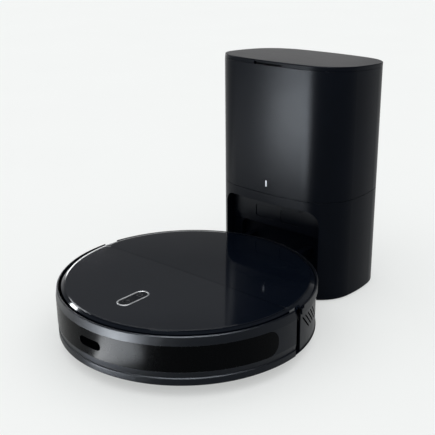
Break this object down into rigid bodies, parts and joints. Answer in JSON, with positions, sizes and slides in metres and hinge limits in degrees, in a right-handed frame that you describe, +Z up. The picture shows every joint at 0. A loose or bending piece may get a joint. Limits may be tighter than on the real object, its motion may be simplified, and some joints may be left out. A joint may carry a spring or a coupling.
{
  "type": "robot vacuum",
  "caption": "Round black robot vacuum parked in a tall self-emptying dock: sprung front bumper, drive wheels, brushes, dust bin, hinged dock lid over a dust bag.",
  "frame": {"origin": "floor level, at the middle of the set's width and depth", "axes": "+Z up, the robot's and the dock's front towards -Y, +X to the robot's left"},
  "size_m": [0.345, 0.5084, 0.3397],
  "materials": {
    "gloss_black": "high gloss black moulded plastic",
    "satin_black": "satin black moulded plastic",
    "dark_window": "glossy infrared-clear window plastic",
    "chrome_trim": "bright plated trim",
    "grey_plastic": "fine moulded plastic",
    "dark_metal": "drawn steel",
    "spring_steel": "spring wire",
    "rubber_black": "soft black rubber",
    "tyre_rubber": "ribbed tyre rubber",
    "brush_blue": "nylon and rubber brush",
    "filter_white": "pleated filter paper",
    "bag_paper": "non-woven dust bag",
    "board_green": "solder-masked circuit board",
    "contact_metal": "plated contact strip",
    "light_white": "white light window",
    "battery_wrap": "battery sleeve"
  },
  "bodies": {
    "dock": {"dock_lower_housing": "satin_black", "dock_bottom_plate": "satin_black", "dock_feet": "rubber_black", "dock_upper_housing": "satin_black", "lid_hinge_pin": "dark_metal", "status_light": "light_white", "alcove_fascia": "dark_window", "dock_contacts": "contact_metal", "dust_duct": "grey_plastic", "port_seal": "rubber_black", "bag_holder": "grey_plastic", "bag_collar": "grey_plastic", "dust_bag": "bag_paper", "dock_fan_housing": "grey_plastic", "power_inlet": "satin_black"},
    "lid": {"dock_lid": "satin_black", "lid_seal": "rubber_black"},
    "dock_fan": {"dock_fan_impeller": "grey_plastic"},
    "robot": {"chassis_base": "satin_black", "rear_side_shell": "satin_black", "top_deck": "gloss_black", "front_top_cover": "gloss_black", "rear_top_cover": "gloss_black", "button_bezel": "chrome_trim", "bumper_springs": "spring_steel", "suspension_pins": "dark_metal", "wheel_springs": "spring_steel", "side_brush_motor": "grey_plastic", "brush_bearings": "grey_plastic", "brush_housing": "satin_black", "brush_guard": "satin_black", "drive_belt": "rubber_black", "brush_motor": "dark_metal", "dust_bin": "satin_black", "bin_filter": "filter_white", "fan_housing": "grey_plastic", "battery_pack": "battery_wrap", "battery_cover": "satin_black", "main_circuit_board": "board_green", "cliff_sensor_lenses": "dark_window", "charging_plates": "contact_metal"},
    "bumper": {"bumper_shell": "satin_black", "bumper_sensor_strip": "dark_window", "bumper_slot_lens": "dark_window"},
    "button": {"rocker_button": "gloss_black"},
    "bin_button": {"bin_release_button": "gloss_black"},
    "evacuation_flap": {"bin_flap": "rubber_black"},
    "left_suspension": {"left_wheel_arm": "satin_black"},
    "right_suspension": {"right_wheel_arm": "satin_black"},
    "left_wheel": {"left_wheel_hub": "grey_plastic", "left_wheel_tyre": "tyre_rubber"},
    "right_wheel": {"right_wheel_hub": "grey_plastic", "right_wheel_tyre": "tyre_rubber"},
    "caster": {"caster_fork": "satin_black", "caster_axle": "dark_metal"},
    "caster_roller": {"caster_wheel": "grey_plastic"},
    "side_sweeper": {"side_brush": "brush_blue"},
    "roller_brush": {"main_brush": "brush_blue"},
    "brush_drive": {"motor_pulley": "dark_metal"},
    "fan": {"fan_impeller": "grey_plastic"}
  },
  "joints": [
    {"name": "robot_undock", "type": "slide", "parent": "dock", "child": "robot", "axis": [0, -1, 0], "range_m": [0, 0.3]},
    {"name": "lid_open", "type": "hinge", "parent": "dock", "child": "lid", "pos_m": [0, 0.25025, 0.3245], "axis": [-1, 0, 0], "range_deg": [0, 100]},
    {"name": "dock_fan_spin", "type": "hinge", "parent": "dock", "child": "dock_fan", "pos_m": [0, 0.20475, 0.04], "axis": [0, 0, 1], "continuous": true},
    {"name": "bumper_press", "type": "slide", "parent": "robot", "child": "bumper", "axis": [0, 1, 0], "range_m": [0, 0.0035], "stiffness_N_per_m": 900, "deforming": ["bumper_springs"]},
    {"name": "button_rock", "type": "hinge", "parent": "robot", "child": "button", "pos_m": [0, -0.18125, 0.078], "axis": [1, 0, 0], "range_deg": [-1.5, 1.5], "stiffness_Nm_per_rad": 3},
    {"name": "bin_button_press", "type": "slide", "parent": "robot", "child": "bin_button", "axis": [0, -1, 0], "range_m": [0, 0.002], "stiffness_N_per_m": 400},
    {"name": "flap_swing", "type": "hinge", "parent": "robot", "child": "evacuation_flap", "pos_m": [0, 0.07715, 0.061], "axis": [-1, 0, 0], "range_deg": [0, 70], "stiffness_Nm_per_rad": 0.02},
    {"name": "left_suspension_swing", "type": "hinge", "parent": "robot", "child": "left_suspension", "pos_m": [0.1, -0.13175, 0.03], "axis": [-1, 0, 0], "range_deg": [-5.5, 13], "stiffness_Nm_per_rad": 12, "deforming": ["wheel_springs"]},
    {"name": "left_wheel_spin", "type": "hinge", "parent": "left_suspension", "child": "left_wheel", "pos_m": [0.118, -0.08175, 0.033], "axis": [1, 0, 0], "continuous": true},
    {"name": "right_suspension_swing", "type": "hinge", "parent": "robot", "child": "right_suspension", "pos_m": [-0.1, -0.13175, 0.03], "axis": [-1, 0, 0], "range_deg": [-5.5, 13], "stiffness_Nm_per_rad": 12, "deforming": ["wheel_springs"]},
    {"name": "right_wheel_spin", "type": "hinge", "parent": "right_suspension", "child": "right_wheel", "pos_m": [-0.118, -0.08175, 0.033], "axis": [1, 0, 0], "continuous": true},
    {"name": "caster_swivel", "type": "hinge", "parent": "robot", "child": "caster", "pos_m": [0, -0.21575, 0.014], "axis": [0, 0, 1], "continuous": true},
    {"name": "caster_roll", "type": "hinge", "parent": "caster", "child": "caster_roller", "pos_m": [0, -0.21075, 0.014], "axis": [1, 0, 0], "continuous": true},
    {"name": "side_brush_spin", "type": "hinge", "parent": "robot", "child": "side_sweeper", "pos_m": [-0.095, -0.17675, 0.006], "axis": [0, 0, 1], "continuous": true},
    {"name": "main_brush_spin", "type": "hinge", "parent": "robot", "child": "roller_brush", "pos_m": [0, -0.04575, 0.02], "axis": [1, 0, 0], "continuous": true},
    {"name": "brush_motor_spin", "type": "hinge", "parent": "robot", "child": "brush_drive", "pos_m": [0, -0.04575, 0.058], "axis": [1, 0, 0], "continuous": true},
    {"name": "fan_spin", "type": "hinge", "parent": "robot", "child": "fan", "pos_m": [0.072, 0.00725, 0.035], "axis": [0, 0, 1], "continuous": true}
  ],
  "couplings": [
    {"joint": "brush_motor_spin", "follows": "main_brush_spin", "ratio": 1.5556}
  ]
}
